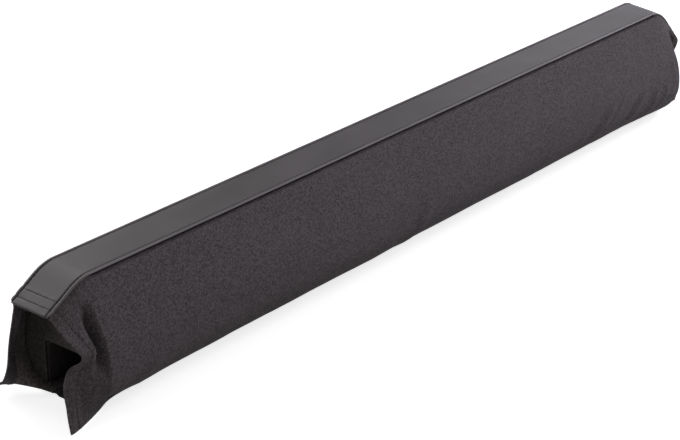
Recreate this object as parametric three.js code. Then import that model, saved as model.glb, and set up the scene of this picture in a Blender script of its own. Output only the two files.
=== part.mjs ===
// A long padded sleeve that closes round the cross bar of a roof rack, so that a board can be strapped on top.
// A foam core with a channel for the bar is covered by a smooth coated strip on top and a woven panel on each
// side, joined by two welts. Under the bar two flaps close with hook and loop tape, and at both ends the cover
// runs on past the foam as an empty mouth.
// Millimetres. X runs along the pad, Y across it, Z up. The pad rests at Z = 0 and is centred on X and Y.

import * as THREE from "three";

// The body's outline
const LENGTH = 760;
const HEIGHT = 94; // to the top strip; the two welts stand a little prouder
const WIDTH = 86;
const TOP_WIDTH = 37; // between the centres of the two welts
const BASE_WIDTH = 26; // flat part of the underside
const SHOULDER_OUT = 35.5; // where the straight upper side starts to turn down
const SHOULDER_UP = 62;
const WIDEST_UP = 30;
const BELLY = 0.36; // how full the lower side is: 0.55 would make it a quarter of an ellipse
const BELLY_END = 0.5; // the same at the ends of the foam, where the flaps pull less
const BULGE_LENGTH = 80; // length over which the lower side fills out
const HANG_BODY = 0.85; // share of the way down a side from which the cloth hangs with its lower edge
const HANG_TAIL = 0.45; // the same in the mouths, where no foam holds it

// The two ends
const TAIL = 29; // from the end of the foam to the top hem
const HEM_SHORT = 3.5; // the top hem stops this far short of the lowest corners
const DRAPE_LEAD = 30; // length of the foam over which the side panels already give way

// Cloth, foam and tape
const CLOTH = 0.8;
const COATED = 1.2;
const LINING = 0.8;
const GAP = 0.3; // clearance between pieces that touch
const WELT_RADIUS = 1.4;
const HEM = 11; // width of the fold at each mouth
const FOAM_ROUND = 2.5; // how far the foam's end edges are rounded over
const PANEL_START = 2.4; // from the top corner, where a side panel meets its welt
const END_PANEL = 0.8;

// The channel for the bar, and what closes it
const CHANNEL_WIDTH = 38;
const CHANNEL_HEIGHT = 32;
const CHANNEL_CORNER = 5;
const FOOT = 2.5; // how far the lining runs out under the foam's legs
const FOOT_RISE = 3.4; // room between the foot and the cover's flat part
const TAPE = 1.0; // thickness of the hook tape and of the loop tape
const TAPE_WIDTH = 14;
const TAPE_SHORT = 8; // the tapes stop this far short of the inner flap's ends
const FLAP_OVERLAP = 10; // how far each flap runs on past the middle
const FLAP_SEAM = 4; // width of each flap that is sewn to its side panel
const FLAP_STEP = 2; // run over which a flap steps from its seam to its own level
const FLAP_CORNER = 10;
const INNER_FLAP_SHORT = 30; // the inner flap stops short of the foam, the outer one runs a little past it
const OUTER_FLAP_PAST = 3;

const HALF_LENGTH = LENGTH / 2;
const HEM_X = HALF_LENGTH - HEM_SHORT;
const FOAM_X = HEM_X - TAIL;
const HALF_TOP = TOP_WIDTH / 2;
const HALF_BASE = BASE_WIDTH / 2;
const HALF_WIDTH = WIDTH / 2;
const CLOSURE = 2 * CLOTH + 2 * TAPE + 4 * GAP; // both flaps with their tapes

// How the cloth hangs in the mouths. Each row of an edge is one place down it, from the welt to the lowest
// corner: its distance from the middle as a share of half the width, its height as a share of the mouth's
// height, and how far it stops short of the full length. The lower edge of a panel hangs free from "free"
// onwards, counted from the end of the foam. The hollow is where the cloth is sucked in beyond the foam: how
// deep, its middle and its reach along the tail, and its middle and its reach down the side.
const MOUTHS = {
  near: {
    drop: 17, // of the top hem below the body's top
    bend: 9, // half of the length over which the top strip bends down
    front: {
      free: -DRAPE_LEAD,
      hold: 1.5, // how long the foam's shape lasts along the tail
      hollow: [7, 0.25, 0.25, 0.33, 0.3],
      edge: [
        [0.56, 0.925, 4.5],
        [0.7, 0.84, 6],
        [0.83, 0.76, 8.5],
        [0.94, 0.69, 12],
        [0.97, 0.635, 14.5],
        [0.88, 0.605, 10],
        [0.77, 0.57, 5.5],
        [0.73, 0.5, 3],
        [0.72, 0.42, 1.5],
        [0.74, 0.34, 1],
        [0.78, 0.26, 0.7],
        [0.81, 0.17, 0.4],
        [0.84, 0.09, 0.2],
        [0.87, 0.02, 0],
      ],
    },
    back: {
      free: OUTER_FLAP_PAST,
      hold: 1.3,
      hollow: [4, 0.72, 0.28, 0.28, 0.35],
      edge: [
        [0.44, 0.92, 7],
        [0.46, 0.82, 6],
        [0.5, 0.72, 5.5],
        [0.54, 0.62, 5],
        [0.57, 0.52, 4.5],
        [0.6, 0.42, 4.5],
        [0.65, 0.32, 5],
        [0.72, 0.23, 5.5],
        [0.81, 0.15, 6],
        [0.9, 0.115, 6.5],
        [0.97, 0.085, 7],
      ],
    },
  },
  far: {
    drop: 29,
    bend: 13,
    front: {
      free: OUTER_FLAP_PAST,
      hold: 1,
      hollow: [2, 0.4, 0.4, 0.3, 0.3],
      edge: [
        [0.51, 0.92, 4.5],
        [0.52, 0.83, 6],
        [0.48, 0.74, 7],
        [0.48, 0.65, 6.5],
        [0.5, 0.52, 5],
        [0.52, 0.39, 4],
        [0.53, 0.29, 3],
        [0.535, 0.2, 2.5],
        [0.53, 0.11, 2],
        [0.5, 0.03, 1.5],
      ],
    },
    back: {
      free: OUTER_FLAP_PAST,
      hold: 1.3,
      hollow: [4, 0.3, 0.35, 0.35, 0.3],
      edge: [
        [0.56, 0.89, 5],
        [0.66, 0.79, 6],
        [0.7, 0.69, 6],
        [0.67, 0.58, 5],
        [0.68, 0.47, 4],
        [0.72, 0.36, 3],
        [0.77, 0.26, 2],
        [0.82, 0.17, 1.5],
        [0.87, 0.09, 0.5],
        [0.92, 0.025, 0],
      ],
    },
  },
};

const mix = (a, b, share) => a + (b - a) * share;
const smooth = (low, high, value) => THREE.MathUtils.smoothstep(value, low, high);
const bump = (middle, reach, value) => 1 - smooth(0, reach, Math.abs(value - middle));

// One side of the body, from the welt down to the middle's flat part: a straight slope, a shoulder and a belly.
function sideOutline(belly) {
  const slope = (SHOULDER_OUT - HALF_TOP) / (HEIGHT - SHOULDER_UP);
  const shoulderCorner = SHOULDER_UP - (HALF_WIDTH - SHOULDER_OUT) / slope;
  const path = new THREE.Path();
  path.moveTo(HALF_TOP, HEIGHT);
  path.lineTo(SHOULDER_OUT, SHOULDER_UP);
  path.quadraticCurveTo(HALF_WIDTH, shoulderCorner, HALF_WIDTH, WIDEST_UP);
  const low = [HALF_WIDTH, WIDEST_UP * (1 - belly), mix(HALF_BASE, HALF_WIDTH, belly), 0];
  path.bezierCurveTo(...low, HALF_BASE, 0);
  return path;
}
const SIDE = sideOutline(BELLY);
const SIDE_END = sideOutline(BELLY_END);
const SIDE_LENGTH = SIDE.getLength();

// A point of the body's side at a distance x from the middle, a share "down" of the way from the top corner.
function bodyPoint(x, down) {
  const filled = smooth(FOAM_X - BULGE_LENGTH, FOAM_X, x);
  return SIDE.getPointAt(down).lerp(SIDE_END.getPointAt(down), filled);
}

// How far down the side, as a share of its length, the outline reaches a height.
function downAt(up) {
  const steps = 400;
  let step = 0;
  while (SIDE.getPointAt(step / steps).y > up) step += 1;
  return step / steps;
}

// Height of the top strip's outer face at a distance x from the middle: level, one round bend, then a slope.
function topHeight(x, end) {
  const past = Math.abs(x) - FOAM_X;
  const { drop, bend } = MOUTHS[end];
  const slope = drop / TAIL;
  if (past < -bend) return HEIGHT;
  if (past > bend) return HEIGHT - slope * past;
  return HEIGHT - (slope * (past + bend) ** 2) / (4 * bend);
}

// Places along the top, from one mouth to the other, close together where it bends.
function topPlaces(extra = []) {
  const places = [];
  for (const [sign, end] of [[-1, "near"], [1, "far"]])
    for (const past of [TAIL, ...extra, ...[1, 0.6, 0.2, -0.2, -0.6, -1].map((b) => b * MOUTHS[end].bend)])
      places.push(sign * (FOAM_X + past));
  return places.sort((a, b) => a - b);
}

// The free edge of a side panel in a mouth, from the welt down to its lowest corner, as [short, out, up].
function mouthEdge(end, side) {
  const mouthHeight = HEIGHT - MOUTHS[end].drop;
  const rows = MOUTHS[end][side].edge.map(
    ([out, up, short]) => new THREE.Vector3(short, out * HALF_WIDTH, up * mouthHeight),
  );
  const corner = new THREE.Vector3(HEM_SHORT, HALF_TOP, mouthHeight);
  return new THREE.CatmullRomCurve3([corner, ...rows]);
}
const EDGES = {};
for (const end of ["near", "far"])
  for (const side of ["front", "back"]) EDGES[end + side] = mouthEdge(end, side);

const pointDown = (curve, down) => curve.getPointAt(mix(PANEL_START / curve.getLength(), 1, down));

// A point of the cover's outer skin, as [x, out, up]. "along" runs from 0, where the cloth starts to give way,
// to 1 at the mouth's edge, and "down" from 0 beside the welt to 1 at the panel's lower edge.
const FOAM_ALONG = DRAPE_LEAD / (DRAPE_LEAD + TAIL);
function skin(end, side, along, down) {
  const { free, hold, hollow } = MOUTHS[end][side];
  const mouth = pointDown(EDGES[end + side], down);
  const past = (along - FOAM_ALONG) / (1 - FOAM_ALONG);
  const x = past > 0 ? mix(FOAM_X, HALF_LENGTH - mouth.x, past) : FOAM_X + past * TAIL;
  const body = bodyPoint(x, mix(PANEL_START / SIDE_LENGTH, 1, down));
  const held = Math.max(past, 0) ** hold; // the foam holds the upper part out
  const letGo = (free + DRAPE_LEAD) / (TAIL + DRAPE_LEAD);
  const hangs = 1 - Math.min(1, (1 - along) / (1 - letGo)) ** 2; // the lower edge hangs from there on
  const hangFrom = mix(HANG_BODY, HANG_TAIL, smooth(0.04, 0.35, past));
  const share = mix(held, hangs, smooth(hangFrom, 1, down));
  const [deep, middle, reach, middleDown, reachDown] = hollow;
  const sunk = deep * bump(middle, reach, past) * bump(middleDown, reachDown, down) * smooth(0, 0.15, down);
  const out = mix(body.x, mouth.y, share) - sunk;
  const weltUp = mix(HEIGHT, HEIGHT - MOUTHS[end].drop, share);
  const settle = (topHeight(x, end) - weltUp) * (1 - down) ** 2; // keeps the upper edge on the welt
  return [x, out, mix(body.y, mouth.z, share) + settle];
}

// A list of shares that runs through [from, to, steps] spans.
const spread = (spans) => [
  spans[0][0],
  ...spans.flatMap(([from, to, steps]) =>
    Array.from({ length: steps }, (_, i) => mix(from, to, (i + 1) / steps)),
  ),
];

// Where rings are cut along the drape, from the body to the mouth's edge, and where each ring has its points.
const DRAPE_STEPS = spread([
  [(DRAPE_LEAD - BULGE_LENGTH) / (DRAPE_LEAD + TAIL), 0, 3],
  [0, FOAM_ALONG, 6],
  [FOAM_ALONG, 1, 10],
]);
const DOWN_STEPS = {
  front: spread([
    [0, 0.26, 5],
    [0.26, 0.54, 11],
    [0.54, 1, 9],
  ]),
  back: spread([[0, 1, 19]]),
};
const FOAM_STEPS = 14;

// Moves each point of an open outline inwards, square to the outline, by the given thickness.
function inset(points, thickness) {
  return points.map((point, i) => {
    const before = points[Math.max(i - 1, 0)];
    const after = points[Math.min(i + 1, points.length - 1)];
    const run = new THREE.Vector2(after.x - before.x, after.y - before.y).normalize();
    const depth = typeof thickness === "function" ? thickness(i) : thickness;
    return new THREE.Vector2(point.x + run.y * depth, point.y - run.x * depth);
  });
}

// A closed solid through a row of rings. Each ring is a list of points [x, y, z], all with as many points.
function loft(given) {
  const flat = (ring) => ring.map(([, y, z]) => new THREE.Vector2(y, z));
  const turned = THREE.ShapeUtils.area(flat(given[0])) < 0;
  const rings = turned ? given.map((ring) => [...ring].reverse()) : [...given];
  if (rings[0][0][0] > rings.at(-1)[0][0]) rings.reverse();
  const count = rings[0].length;
  const index = [];
  for (let i = 0; i + 1 < rings.length; i++)
    for (let j = 0; j < count; j++) {
      const a = i * count + j;
      const b = i * count + ((j + 1) % count);
      index.push(a, b, b + count, a, b + count, a + count);
    }
  const last = (rings.length - 1) * count;
  for (const [a, b, c] of THREE.ShapeUtils.triangulateShape(flat(rings[0]), [])) index.push(a, c, b);
  for (const [a, b, c] of THREE.ShapeUtils.triangulateShape(flat(rings.at(-1)), []))
    index.push(last + a, last + b, last + c);
  const geometry = new THREE.BufferGeometry();
  geometry.setAttribute("position", new THREE.Float32BufferAttribute(rings.flat(2), 3));
  geometry.setIndex(index);
  geometry.computeVertexNormals();
  return geometry;
}

// A ring of an extruded or lofted piece at one place along the pad.
const ringAt = (x, outline) => outline.map((point) => [x, point.x, point.y]);

// "out" becomes minus Y in front and plus Y at the back, and a place along the pad belongs to one of its ends.
const handOf = (side) => (side === "front" ? -1 : 1);
const endOf = (sign) => (sign < 0 ? "near" : "far");

// A woven side panel: the skin from just under the welt to the lower edge, folded double at both mouths.
function sidePanel(side) {
  const hand = handOf(side);
  const downs = DOWN_STEPS[side];
  const ring = (sign, along, layers) => {
    const outer = downs.map((down) => skin(endOf(sign), side, along, down));
    const flat = outer.map(([, out, up]) => new THREE.Vector2(out, up));
    const thickness = (i) => CLOTH * mix(1, layers, smooth(0, 0.1, downs[i]));
    const inner = inset(flat, thickness).map((p, i) => [outer[i][0], p.x, p.y]);
    return [...outer, ...inner.reverse()].map(([x, out, up]) => [sign * x, hand * out, up]);
  };
  const hemAlong = 1 - HEM / (TAIL + DRAPE_LEAD);
  const steps = DRAPE_STEPS.map((along) => [along, along > hemAlong ? 2 : 1]);
  steps.push([hemAlong + 0.004, 2], [hemAlong - 0.004, 1]);
  steps.sort((a, b) => a[0] - b[0]);
  const half = (sign) => steps.map(([along, layers]) => ring(sign, along, layers));
  return loft([...half(-1).reverse(), ...half(1)]);
}

// The coated strip on top, cut to fit between the welts and hemmed under at both mouths.
function topPanel() {
  const width = TOP_WIDTH - 2 * (WELT_RADIUS + GAP);
  const places = topPlaces([TAIL - HEM, TAIL - HEM - GAP]);
  const rings = places.map((x) => {
    const up = topHeight(x, endOf(Math.sign(x)));
    const layers = Math.abs(x) > HEM_X - HEM - GAP / 2 ? 2 : 1;
    return ringAt(x, [
      new THREE.Vector2(-width / 2, up),
      new THREE.Vector2(-width / 2, up - layers * COATED),
      new THREE.Vector2(width / 2, up - layers * COATED),
      new THREE.Vector2(width / 2, up),
    ]);
  });
  return loft(rings);
}

// A welt: a round piping that follows the edge of the top strip from mouth to mouth.
function welt(side) {
  const facets = 10;
  const centreUp = COATED / 2; // below the strip's outer face, so that the welt stands a little proud
  const rings = topPlaces().map((x) => {
    const up = topHeight(x, endOf(Math.sign(x))) - centreUp;
    return Array.from({ length: facets }, (_, i) => {
      const turn = (2 * Math.PI * i) / facets;
      return [
        x,
        handOf(side) * HALF_TOP + WELT_RADIUS * Math.cos(turn),
        up + WELT_RADIUS * Math.sin(turn),
      ];
    });
  });
  return loft(rings);
}

// Half of the foam's outline, from under the welt to above the foot. It is set in by the cover's thickness and
// a further trim, which fades towards the narrow foot.
function foamSide(x, trim) {
  const from = (2 * PANEL_START) / SIDE_LENGTH;
  const downs = spread([[0, 1, FOAM_STEPS]]);
  const points = downs.map((down) => bodyPoint(x, mix(from, FOAM_DOWN, down)));
  return inset(points, (i) => CLOTH + GAP + trim * (1 - 0.85 * smooth(0.5, 1, downs[i])));
}

// The channel's outline, from its foot in front, over the ceiling, to its foot at the back.
function channelOutline(halfWidth, ceiling, corner, footUp) {
  const path = new THREE.Path();
  path.moveTo(-halfWidth, footUp);
  path.lineTo(-halfWidth, ceiling - corner);
  path.absarc(-halfWidth + corner, ceiling - corner, corner, Math.PI, Math.PI / 2, true);
  path.lineTo(halfWidth - corner, ceiling);
  path.absarc(halfWidth - corner, ceiling - corner, corner, Math.PI / 2, 0, true);
  path.lineTo(halfWidth, footUp);
  return path.getPoints(4);
}

const CEILING = CLOSURE + CHANNEL_HEIGHT;
const FOAM_UP = CLOTH + LINING + 3 * GAP + FOOT_RISE; // underside of the foam's legs
const FOAM_DOWN = downAt(FOAM_UP);
const FOAM_CHANNEL = CHANNEL_WIDTH / 2 + LINING + GAP;

// The foam's section: the body's outline with the channel cut out from below.
function foamSection(x, trim) {
  const side = foamSide(x, trim);
  const topUp = HEIGHT - COATED - GAP - trim;
  const topOut = HALF_TOP - WELT_RADIUS - 2 * GAP - trim / 2;
  const footOut = side.at(-1).x - 2 * CLOTH;
  const half = [new THREE.Vector2(topOut, topUp), ...side, new THREE.Vector2(footOut, FOAM_UP)];
  const front = half.map((p) => new THREE.Vector2(-p.x, p.y)).reverse();
  const channel = channelOutline(FOAM_CHANNEL, CEILING + LINING + GAP, CHANNEL_CORNER, FOAM_UP).reverse();
  return [...front, ...half, ...channel];
}

// How far the foam is trimmed at a distance x: it follows the top strip's bend and is rounded over at its end.
function foamTrim(x, end) {
  const fromEnd = FOAM_X - x;
  const round = FOAM_ROUND * Math.max(0, 1 - fromEnd / (2 * FOAM_ROUND)) ** 2;
  return HEIGHT - topHeight(x, end) + round;
}

// The foam core: one long block that fills the cover up to the bend at each end.
function foamCore() {
  const rings = [];
  for (const [sign, end] of [[-1, "near"], [1, "far"]])
    for (const share of [-GAP / MOUTHS[end].bend, -0.1, -0.2, -0.35, -0.6, -1]) {
      const x = FOAM_X + share * MOUTHS[end].bend;
      rings.push(ringAt(sign * x, foamSection(x, foamTrim(x, end))));
    }
  for (const share of [0.4, 0.7, 1])
    for (const sign of [-1, 1]) {
      const x = FOAM_X - share * BULGE_LENGTH;
      rings.push(ringAt(sign * x, foamSection(x, 0)));
    }
  rings.sort((a, b) => a[0][0] - b[0][0]);
  return loft(rings);
}

// The lining of the channel: up one wall, over the ceiling and down the other, with a foot under each leg.
function channelLining() {
  const inner = channelOutline(CHANNEL_WIDTH / 2, CEILING, CHANNEL_CORNER - LINING, FOAM_UP - GAP - LINING);
  const outer = channelOutline(CHANNEL_WIDTH / 2 + LINING, CEILING + LINING, CHANNEL_CORNER, FOAM_UP - GAP);
  const foot = (sign, up) => new THREE.Vector2(sign * (CHANNEL_WIDTH / 2 + LINING + FOOT), up);
  const outline = [
    foot(-1, FOAM_UP - GAP - LINING),
    foot(-1, FOAM_UP - GAP),
    ...outer,
    foot(1, FOAM_UP - GAP),
    foot(1, FOAM_UP - GAP - LINING),
    ...inner.reverse(),
  ];
  const rings = [-FOAM_X, FOAM_X].map((x) => ringAt(x, outline));
  return loft(rings);
}

// The panel that closes the foam's pocket at one end, open where the channel comes out.
function endPanel(sign) {
  const section = foamSection(FOAM_X, foamTrim(FOAM_X, endOf(sign)) + GAP);
  const faces = [FOAM_X + GAP, FOAM_X + GAP + END_PANEL].map((x) => ringAt(sign * x, section));
  return loft(faces);
}

// A flap: sewn inside its side panel's lower edge, it steps to its own level and runs on past the middle.
function flap(side, level, halfLength) {
  const hand = handOf(side);
  const seamUp = CLOTH + GAP;
  const seamIn = HALF_BASE - FLAP_SEAM + GAP;
  const layer = (out, up) => [new THREE.Vector2(out, up + CLOTH), new THREE.Vector2(out, up)];
  const ring = (x, cut) => {
    const pairs = [
      layer(HALF_BASE, seamUp),
      layer(seamIn, seamUp),
      layer(seamIn - FLAP_STEP, level),
      layer(-FLAP_OVERLAP + cut, level),
    ];
    const outline = [...pairs.map((p) => p[0]), ...pairs.map((p) => p[1]).reverse()];
    return outline.map((p) => [x, hand * p.x, p.y]);
  };
  const rings = [0, 0.12, 0.35, 0.65, 1].map((share) => {
    const run = FLAP_CORNER * share;
    const cut = FLAP_CORNER - Math.sqrt(FLAP_CORNER ** 2 - (FLAP_CORNER - run) ** 2);
    return ring(-halfLength + run, cut);
  });
  const other = rings.map((points) => points.map(([x, y, z]) => [-x, y, z])).reverse();
  return loft([...rings, ...other]);
}

// A strip of hook or loop tape with rounded ends, sewn flat on its flap.
function tape(up, middle) {
  const long = 2 * (FOAM_X - INNER_FLAP_SHORT - TAPE_SHORT);
  const corner = 3;
  const shape = new THREE.Shape();
  shape.moveTo(-long / 2 + corner, -TAPE_WIDTH / 2);
  shape.lineTo(long / 2 - corner, -TAPE_WIDTH / 2);
  shape.absarc(long / 2 - corner, -TAPE_WIDTH / 2 + corner, corner, -Math.PI / 2, 0, false);
  shape.absarc(long / 2 - corner, TAPE_WIDTH / 2 - corner, corner, 0, Math.PI / 2, false);
  shape.absarc(-long / 2 + corner, TAPE_WIDTH / 2 - corner, corner, Math.PI / 2, Math.PI, false);
  shape.absarc(-long / 2 + corner, -TAPE_WIDTH / 2 + corner, corner, Math.PI, 1.5 * Math.PI, false);
  const geometry = new THREE.ExtrudeGeometry(shape, { depth: TAPE, bevelEnabled: false, curveSegments: 4 });
  return geometry.translate(0, middle, up);
}

const MATERIALS = {
  coated: new THREE.MeshStandardMaterial({ color: 0x4b4749, roughness: 0.55, metalness: 0 }),
  welt: new THREE.MeshStandardMaterial({ color: 0x565254, roughness: 0.5, metalness: 0 }),
  woven: new THREE.MeshStandardMaterial({ color: 0x2c2828, roughness: 0.85, metalness: 0 }),
  lining: new THREE.MeshStandardMaterial({ color: 0x171515, roughness: 0.8, metalness: 0 }),
  foam: new THREE.MeshStandardMaterial({ color: 0x35363a, roughness: 0.95, metalness: 0 }),
  tape: new THREE.MeshStandardMaterial({ color: 0x121212, roughness: 0.9, metalness: 0 }),
};

const pad = new THREE.Group();

function add(name, geometry, material) {
  const mesh = new THREE.Mesh(geometry, MATERIALS[material]);
  mesh.name = name;
  pad.add(mesh);
}

const HOOK_UP = CLOTH + GAP;
const LOOP_UP = HOOK_UP + TAPE + GAP;
const INNER_FLAP_UP = LOOP_UP + TAPE + GAP;

add("foam_core", foamCore(), "foam");
add("channel_lining", channelLining(), "lining");
add("near_end_panel", endPanel(-1), "lining");
add("far_end_panel", endPanel(1), "lining");
add("top_panel", topPanel(), "coated");
add("front_welt", welt("front"), "welt");
add("back_welt", welt("back"), "welt");
add("front_panel", sidePanel("front"), "woven");
add("back_panel", sidePanel("back"), "woven");
add("inner_flap", flap("front", INNER_FLAP_UP, FOAM_X - INNER_FLAP_SHORT), "woven");
add("outer_flap", flap("back", 0, FOAM_X + OUTER_FLAP_PAST), "woven");
add("hook_tape", tape(HOOK_UP, -1), "tape");
add("loop_tape", tape(LOOP_UP, 1), "tape");

export default pad;
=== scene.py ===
"""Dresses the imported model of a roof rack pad: woven side panels, a coated strip between two flat welts,
foam, lining, closing flaps with hook and loop tape, thread, camera, light and floor. Shapes are worked out
in millimetres in the row frame and turned into metres when a mesh is made."""

import math

import bpy
import numpy as np
from mathutils import Matrix, Vector, noise


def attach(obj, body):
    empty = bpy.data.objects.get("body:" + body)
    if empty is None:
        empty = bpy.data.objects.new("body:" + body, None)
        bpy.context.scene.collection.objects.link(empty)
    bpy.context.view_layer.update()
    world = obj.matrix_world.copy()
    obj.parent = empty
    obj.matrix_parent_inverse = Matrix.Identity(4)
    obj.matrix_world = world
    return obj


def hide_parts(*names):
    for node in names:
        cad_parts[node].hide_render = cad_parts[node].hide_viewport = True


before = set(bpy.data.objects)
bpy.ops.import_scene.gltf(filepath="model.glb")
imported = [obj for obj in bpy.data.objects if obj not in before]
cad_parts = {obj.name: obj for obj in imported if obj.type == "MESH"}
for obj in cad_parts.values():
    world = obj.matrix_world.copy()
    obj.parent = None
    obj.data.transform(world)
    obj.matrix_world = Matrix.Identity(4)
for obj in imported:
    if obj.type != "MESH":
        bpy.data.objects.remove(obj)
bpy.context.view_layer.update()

# The body and its ends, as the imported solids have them, in mm. BELLY and BELLY_END are how full a side is low
# down, in the middle and at the foam's ends. The cover runs past the foam by TAIL, and hangs from a share
# HANG_BODY of the way down, or HANG_TAIL past the foam.
LENGTH, HEIGHT, WIDTH = 760.0, 94.0, 86.0
HALF_LENGTH, HALF_WIDTH = LENGTH / 2, WIDTH / 2
HALF_TOP, HALF_BASE = 18.5, 13.0
SHOULDER_OUT, SHOULDER_UP, WIDEST_UP = 35.5, 62.0, 30.0
BELLY, BELLY_END, BULGE_LENGTH = 0.36, 0.5, 80.0
TAIL, HEM_SHORT, DRAPE_LEAD = 29.0, 3.5, 30.0
REACH = HALF_LENGTH - HEM_SHORT
FOAM_X = REACH - TAIL
CLOTH, COATED, LINING, GAP = 0.8, 1.2, 0.8, 0.3
HEM, PANEL_START = 11.0, 2.4
HANG_BODY, HANG_TAIL = 0.85, 0.45
CHANNEL_WIDTH, CHANNEL_HEIGHT, CHANNEL_CORNER = 38.0, 32.0, 5.0
FOOT, FOOT_RISE = 2.5, 3.4
TAPE, TAPE_WIDTH, TAPE_SHORT = 1.0, 14.0, 8.0
EDGE_TAPE_WIDTH = 11.0
FLAP_OVERLAP, FLAP_SEAM, FLAP_STEP, FLAP_CORNER = 10.0, 4.0, 2.0, 10.0
INNER_FLAP_SHORT, OUTER_FLAP_PAST = 30.0, 3.0
CLOSURE = 2 * CLOTH + 2 * TAPE + 4 * GAP
CEILING = CLOSURE + CHANNEL_HEIGHT
FOAM_UP = CLOTH + LINING + 3 * GAP + FOOT_RISE

MM = 0.001
ENDS = {"near": -1, "far": 1}  # which way each end lies along X
HAND = {"front": -1, "back": 1}  # which way is outwards along Y

# The strip falls by drop, bent round the foam's end, and a lower edge hangs from free past that end. A hollow
# is its depth, its middle and reach along the mouth, and the same downwards. Edge points are shares of half
# the width and of the mouth's height, and how far short they lie.
MOUTHS = {
    "near": {
        "drop": 17.0, "bend": 9.0,
        "front": {
            "free": -DRAPE_LEAD, "hold": 1.5, "hollow": (11, 0.25, 0.24, 0.34, 0.3), "ease": 1.35,
            "edge": [(0.56, 0.925, 4.5), (0.7, 0.84, 6), (0.8, 0.76, 8.5), (0.87, 0.69, 11),
                     (0.89, 0.635, 12.5), (0.88, 0.605, 10), (0.77, 0.57, 5.5), (0.73, 0.5, 3),
                     (0.72, 0.42, 1.5), (0.74, 0.34, 1), (0.78, 0.26, 0.7), (0.81, 0.17, 0.4),
                     (0.84, 0.09, 0.2), (0.87, 0.02, 0)],
        },
        "back": {
            "free": OUTER_FLAP_PAST, "hold": 1.3, "hollow": (4, 0.72, 0.28, 0.28, 0.35),
            "edge": [(0.44, 0.92, 7), (0.46, 0.82, 6), (0.5, 0.72, 5.5), (0.54, 0.62, 5), (0.57, 0.52, 4.5),
                     (0.6, 0.42, 4.5), (0.65, 0.32, 5), (0.72, 0.23, 5.5), (0.81, 0.15, 6), (0.9, 0.115, 6.5),
                     (0.97, 0.085, 7)],
        },
    },
    "far": {
        "drop": 29.0, "bend": 13.0,
        "front": {
            "free": OUTER_FLAP_PAST, "hold": 1.0, "hollow": (6, 0.6, 0.5, 0.16, 0.2),
            "edge": [(0.51, 0.92, 4.5), (0.52, 0.83, 6), (0.48, 0.74, 7), (0.48, 0.65, 6.5), (0.5, 0.52, 5),
                     (0.52, 0.39, 4), (0.53, 0.29, 3), (0.535, 0.2, 2.5), (0.53, 0.11, 2), (0.5, 0.03, 1.5)],
        },
        "back": {
            "free": OUTER_FLAP_PAST, "hold": 1.3, "hollow": (4, 0.3, 0.35, 0.35, 0.3),
            "edge": [(0.56, 0.89, 5), (0.66, 0.79, 6), (0.7, 0.69, 6), (0.67, 0.58, 5), (0.68, 0.47, 4),
                     (0.72, 0.36, 3), (0.77, 0.26, 2), (0.82, 0.17, 1.5), (0.87, 0.09, 0.5),
                     (0.92, 0.025, 0)],
        },
    },
}


# The shape of the cover, as in the solids but on a finer grid

def mix(a, b, share):
    """a at share 0 and b at share 1."""
    return a + (b - a) * share


def smooth(low, high, value):
    """0 at low and beyond it, 1 at high and beyond it, and a smooth step between."""
    t = np.clip((value - low) / (high - low), 0, 1)
    return t * t * (3 - 2 * t)


def bump(middle, reach, value):
    """1 at the middle, and away to 0 within reach of it."""
    return 1 - smooth(0, reach, np.abs(value - middle))


class Line:
    """A polyline that is read by the share of its length."""

    def __init__(self, points):
        self.points = np.array(points, float)
        steps = np.linalg.norm(np.diff(self.points, axis=0), axis=1)
        self.at = np.concatenate([[0], np.cumsum(steps)])
        self.length = self.at[-1]

    def __call__(self, share):
        share = np.asarray(share, float) * self.length
        return np.stack([np.interp(share, self.at, column) for column in self.points.T], -1)


def side_outline(belly):
    """One side of the body's section, from the top's corner to the base's."""
    t = np.linspace(0, 1, 160)[:, None]
    slope = (SHOULDER_OUT - HALF_TOP) / (HEIGHT - SHOULDER_UP)
    top, shoulder = np.array([HALF_TOP, HEIGHT]), np.array([SHOULDER_OUT, SHOULDER_UP])
    corner = np.array([HALF_WIDTH, SHOULDER_UP - (HALF_WIDTH - SHOULDER_OUT) / slope])
    widest, below = np.array([HALF_WIDTH, WIDEST_UP]), np.array([HALF_WIDTH, WIDEST_UP * (1 - belly)])
    beside, base = np.array([mix(HALF_BASE, HALF_WIDTH, belly), 0]), np.array([HALF_BASE, 0])
    rounded = (1 - t) ** 2 * shoulder + 2 * t * (1 - t) * corner + t ** 2 * widest
    low = (1 - t) ** 3 * widest + 3 * t * (1 - t) ** 2 * below + 3 * t ** 2 * (1 - t) * beside + t ** 3 * base
    return Line(np.concatenate([mix(top, shoulder, t), rounded[1:], low[1:]]))


SIDE, SIDE_END = side_outline(BELLY), side_outline(BELLY_END)


def body_point(x, down):
    """Points (out, up) of the body's side at x, fuller towards the foam's ends."""
    filled = smooth(FOAM_X - BULGE_LENGTH, FOAM_X, x)[..., None]
    return mix(SIDE(down), SIDE_END(down), filled)


FAR_SKEW = 9.5  # how much further the far end's crest runs at the back than in front


def top_height(x, end, back=0.0):
    """Height of the strip. back is 0 along the front welt and 1 along the back one."""
    past = np.abs(x) - FOAM_X
    if end == "far":
        past = past - FAR_SKEW * back * smooth(TAIL, 4, past)
    drop, bend = MOUTHS[end]["drop"], MOUTHS[end]["bend"]
    slope = drop / TAIL
    curved = HEIGHT - slope * (past + bend) ** 2 / (4 * bend)
    return np.where(past < -bend, HEIGHT, np.where(past > bend, HEIGHT - slope * past, curved))


def crest(x, back):
    """Height of the strip from end to end."""
    return np.where(x < 0, top_height(x, "near"), top_height(x, "far", back))


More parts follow.
